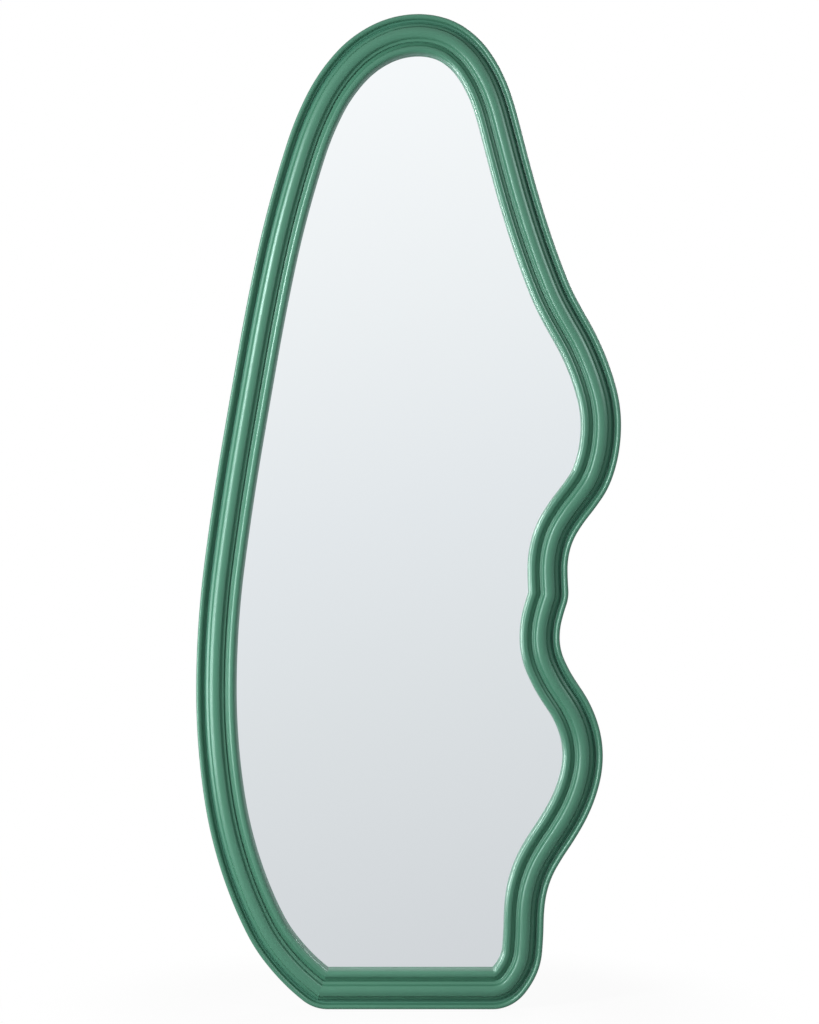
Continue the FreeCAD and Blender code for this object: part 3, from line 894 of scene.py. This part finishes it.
class MIRROR_OT_hangers(bpy.types.Operator):
    """Build the two strap hangers with their rings and screws"""

    bl_idname = "mirror.hangers"
    bl_label = "Hangers"

    def execute(self, context):
        hardware = context.scene.mirror_hardware
        steel = zinc_material("zinc_straps", (1, 1, 0.1))
        wire = zinc_material("zinc_rings", (0.3, 1, 0.3))
        for side, body in RING_BODIES.items():
            pin = self.pin_of(side, hardware)
            new_piece(f"hanger_strap_{side}_rolled", self.strap(side, pin, hardware), steel,
                      f"hanger_strap_{side}")
            new_piece(f"hanger_ring_{side}_bent", self.ring(pin, hardware), wire,
                      f"hanger_ring_{side}", body)
        self.screws(hardware)
        return {"FINISHED"}

    def pin_of(self, side, hardware):
        """The centre of a ring's pin, from the top of the ring's solid."""
        low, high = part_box(f"hanger_ring_{side}")
        return Vector(((low.x + high.x) / 2, (low.y + high.y) / 2,
                       high.z - hardware.wire_radius))

    def ring(self, pin, hardware):
        """A closed D of round wire, hanging from its straight side."""
        middle = Vector((pin.x, 0, pin.z))
        half = hardware.ring_width / 2
        corner = hardware.ring_corner
        low = -corner - hardware.ring_leg
        corners = [(corner - half, 0, 0), (half - corner, 0, 0), (half, -corner, 90),
                   (half, low, 90), (-half, low, 270), (-half, -corner, 270),
                   (corner - half, 0, 0)]
        spans = [Span(middle + Vector((x, 0, z)), level_heading(degrees),
                      middle + Vector((next_x, 0, next_z)))
                 for (x, z, degrees), (next_x, next_z, _) in zip(corners, corners[1:])]
        stations = stations_along(spans, step=1.5 * MM, turn_step=math.radians(7))
        left = Vector((-hardware.wire_radius, 0, 0))
        upward = Vector((0, 0, 1))
        halves = [Span(left, upward, -left), Span(-left, -upward, left)]
        rows = section_rows(halves, ease=0, arc_step=math.radians(15))
        return swept_mesh(stations, rows, pin.y, closed=True)

    def strap(self, side, pin, hardware):
        """A stamped strip, flat on the frame and rolled round the pin at its upper end."""
        thick = hardware.strap_thickness
        low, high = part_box(f"hanger_strap_{side}")
        eye = high.z - pin.z - thick / 2
        flat = low.y + thick / 2
        rise = pin.y - eye - flat
        length = pin.z - low.z
        flat_steps = 60
        roll_steps = 40
        course = []
        for k in range(flat_steps + 1):
            z = low.z + length * k / flat_steps
            t = max(0, 1 - (pin.z - z) / hardware.eye_ease)
            lift = rise * t * t * (3 - 2 * t)
            tilt = rise * 6 * t * (1 - t) / hardware.eye_ease
            course.append((Vector((pin.x, flat + lift, z)), Vector((0, tilt, 1)).normalized()))
        for k in range(1, roll_steps + 1):
            turned = hardware.eye_turn * k / roll_steps
            course.append((
                Vector((pin.x, pin.y - eye * math.cos(turned), pin.z + eye * math.sin(turned))),
                Vector((0, math.sin(turned), math.cos(turned)))))
        edge = hardware.strap_edge
        corner = hardware.strap_corner
        shape = bmesh.new()
        loops = []
        for place, along in course:
            out = Vector((0, along.z, -along.y))
            travelled = max(place.z - low.z, 0.02 * MM) if place.y < pin.y else corner
            missing = corner - min(travelled, corner)
            cut = corner - math.sqrt(corner ** 2 - missing ** 2)
            half = hardware.strap_width / 2 - cut
            ring = []
            for x_sign, out_sign in ((-1, -1), (1, -1), (1, 1), (-1, 1)):
                bevel = [(half, thick / 2 - edge), (half - edge, thick / 2)]
                if x_sign * out_sign < 0:
                    bevel.reverse()
                for x, level in bevel:
                    ring.append(shape.verts.new(
                        place + Vector((x * x_sign, 0, 0)) + out * level * out_sign))
            loops.append(ring)
        add_bands(shape, loops)
        shape.faces.new(loops[0])
        shape.faces.new(loops[-1])
        return mesh_from(shape)

    def screws(self, hardware):
        """The round-headed screws through the straps."""
        strap_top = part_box("hanger_strap_left")[0].y + hardware.strap_thickness
        flat = hardware.recess_arm * 1.15
        lip = 0.05 * MM
        steps = 9
        first_turn, cross_turn = 0.4, 0.9
        shape = bmesh.new()
        for index, (place, head, foot, top) in enumerate(turned_solids("hanger_screws")):
            shank = head * 0.52
            rings = thread_rings(hardware, shank, foot, strap_top)
            rings += [(shank, strap_top - 0.02 * MM), (head * 0.96, strap_top)]
            widest = math.asin(flat / head)
            for k in range(steps + 1):
                turned = math.pi / 2 - (math.pi / 2 - widest) * k / steps
                rings.append((head * math.sin(turned),
                              strap_top + lip + (top - strap_top - lip) * math.cos(turned)))
            rim = add_turned(shape, rings, place)
            add_cross_top(shape, rim, place, rings[-1][1], hardware,
                          first_turn + index * cross_turn)
        new_piece("hanger_screws_driven", mesh_from(shape), zinc_material("zinc_round_heads"),
                  "hanger_screws")


class MIRROR_OT_bumpers(bpy.types.Operator):
    """Build the rubber bumpers that meet the wall"""

    bl_idname = "mirror.bumpers"
    bl_label = "Wall Bumpers"

    def execute(self, context):
        hardware = context.scene.mirror_hardware
        shape = bmesh.new()
        foot_edge = 0.3 * MM
        slope = 1.2 * MM
        rim_steps = 8
        dish_steps = 6
        for place, radius, foot, top in turned_solids("wall_bumpers"):
            edge = hardware.bumper_edge
            rings = [(radius - foot_edge, foot), (radius, foot + foot_edge)]
            for k in range(rim_steps + 1):
                turned = math.pi / 2 * k / rim_steps
                rings.append((radius - edge + edge * math.cos(turned),
                              top - edge + edge * math.sin(turned)))
            land = radius - edge - hardware.bumper_land
            for k in range(1, dish_steps + 1):
                turned = math.pi * k / dish_steps
                rings.append((land - slope * k / dish_steps,
                              top - hardware.bumper_dish * (1 - math.cos(turned)) / 2))
            rim = add_turned(shape, rings, place, sides=64)
            shape.faces.new(rim)
        new_piece("wall_bumpers_moulded", mesh_from(shape, sharp=50), rubber_material(),
                  "wall_bumpers")
        return {"FINISHED"}


class MIRROR_OT_studio(bpy.types.Operator):
    """Set up the floor, the soft lights, the pale surroundings and the camera"""

    bl_idname = "mirror.studio"
    bl_label = "Studio"

    def execute(self, context):
        studio = context.scene.mirror_studio
        context.scene.view_settings.view_transform = "Standard"
        self.floor(studio)
        self.surroundings(context.scene, studio)
        middle = Vector((0, 0, studio.camera_height))
        for name, (reach, *light) in LAMPS.items():
            self.lamp(name, middle + Vector(reach), middle, *light)
        self.camera(context.scene, studio)
        return {"FINISHED"}

    def lamp(self, name, place, target, width, height, watts):
        light = bpy.data.lights.new(name, "AREA")
        light.shape = "RECTANGLE"
        light.size = width
        light.size_y = height
        light.energy = watts
        lamp = new_object(name, light)
        lamp.location = place
        lamp.rotation_euler = (target - place).to_track_quat("-Z", "Y").to_euler()

    def floor(self, studio):
        """A pale round floor that fades out before its edge."""
        shape = bmesh.new()
        radii = (0.4, 0.8, 1.4, 2.0, studio.floor_fade_end * 1.02)
        loops = [[shape.verts.new((x, y, 0)) for x, y in circle(radius, sides=96)]
                 for radius in radii]
        add_bands(shape, loops)
        shape.faces.new(loops[0])
        piece = new_object("studio_floor", mesh_from(shape))
        material, finish, place, _ = new_material("studio_floor")
        reach = finish.node("ShaderNodeVectorMath", {"operation": "LENGTH"}, {0: place},
                            output=1)
        away = reach.between(studio.floor_fade_start, studio.floor_fade_end)
        grain = finish.noise(place, 30, 3)
        paint = finish.mix(grain * 0.03, studio.floor_colour, (0.8, 0.8, 0.8))
        lit = finish.node("ShaderNodeBsdfDiffuse", {}, {"Color": paint})
        white = finish.node("ShaderNodeEmission", {}, {"Strength": 1})
        seen = finish.node("ShaderNodeLightPath", {}, {})
        far = reach.between(studio.floor_white_start, studio.floor_fade_start)
        paleness = studio.floor_white + far * (1 - studio.floor_white)
        shown = finish.node("ShaderNodeMixShader", {}, {0: seen * paleness, 1: lit, 2: white})
        clear = finish.node("ShaderNodeBsdfTransparent", {}, {})
        # The sum can pass 1, and between holds it at 1.
        gone = (away + seen.output("Is Glossy Ray")).between(0, 1)
        finish.surface(finish.node("ShaderNodeMixShader", {}, {0: gone, 1: shown, 2: clear}))
        piece.data.materials.append(material)

    def surroundings(self, scene, studio):
        """White behind the mirror, and a room that darkens towards the floor before it."""
        world = bpy.data.worlds.new("studio")
        world.use_nodes = True
        scene.world = world
        finish = Finish(world.node_tree)
        direction = finish.node("ShaderNodeTexCoord", {}, {})
        upward = finish.node("ShaderNodeSeparateXYZ", {}, {0: direction}, output=2)
        lean = 0.13
        height = upward * 0.5 - upward.output("X") * lean + 0.5
        room = finish.node("ShaderNodeValToRGB", {"stops": ROOM}, {0: height})
        behind = upward.output("Y").between(-0.05, 0.05)
        shade = finish.mix(behind, room, (1, 1, 1))
        seen = finish.node("ShaderNodeLightPath", {}, {})
        shade = finish.mix(seen, shade, (1, 1, 1))
        shown = seen + seen.output("Is Glossy Ray") + seen.output("Is Transmission Ray")
        light = finish.node("ShaderNodeBackground", {},
                            {"Color": (1, 1, 1, 1), "Strength": studio.ambient})
        view = finish.node("ShaderNodeBackground", {}, {"Color": shade, "Strength": 1})
        both = finish.node("ShaderNodeMixShader", {}, {0: shown.between(0, 1), 1: light, 2: view})
        finish.node("ShaderNodeOutputWorld", {}, {"Surface": both})

    def camera(self, scene, studio):
        data = bpy.data.cameras.new("camera")
        data.lens = data.sensor_width * studio.camera_distance / studio.view_height
        data.clip_end = 50
        camera = new_object("camera", data)
        camera.location = (studio.camera_side, -studio.rim_level - studio.camera_distance,
                           studio.camera_height)
        camera.rotation_euler = (math.pi / 2, 0, 0)
        scene.camera = camera


OPERATORS = (
    MIRROR_OT_lacquered_frame,
    MIRROR_OT_glass_and_board,
    MIRROR_OT_board_screws,
    MIRROR_OT_hangers,
    MIRROR_OT_bumpers,
    MIRROR_OT_studio,
)
GROUPS = {
    "mirror_frame": MirrorFrameSizes,
    "mirror_hardware": MirrorHardwareSizes,
    "mirror_colours": MirrorColours,
    "mirror_studio": MirrorStudio,
}


class VIEW3D_PT_wall_mirror(bpy.types.Panel):
    """The sizes, the colours and the steps of the wall mirror"""

    bl_label = "Wall Mirror"
    bl_idname = "VIEW3D_PT_wall_mirror"
    bl_space_type = "VIEW_3D"
    bl_region_type = "UI"
    bl_category = "Wall Mirror"

    def draw(self, context):
        layout = self.layout
        for operator in OPERATORS:
            layout.operator(operator.bl_idname)
        for name, group in GROUPS.items():
            box = layout.box()
            for field in group.__annotations__:
                box.prop(getattr(context.scene, name), field)


def register():
    for name, group in GROUPS.items():
        bpy.utils.register_class(group)
        setattr(bpy.types.Scene, name, PointerProperty(type=group))
    for operator in OPERATORS:
        bpy.utils.register_class(operator)
    bpy.utils.register_class(VIEW3D_PT_wall_mirror)


def unregister():
    bpy.utils.unregister_class(VIEW3D_PT_wall_mirror)
    for operator in reversed(OPERATORS):
        bpy.utils.unregister_class(operator)
    for name, group in reversed(GROUPS.items()):
        delattr(bpy.types.Scene, name)
        bpy.utils.unregister_class(group)


def main():
    register()
    bpy.ops.mirror.lacquered_frame()
    bpy.ops.mirror.glass_and_board()
    bpy.ops.mirror.board_screws()
    bpy.ops.mirror.hangers()
    bpy.ops.mirror.bumpers()
    bpy.ops.mirror.studio()


if __name__ == "__main__":
    main()
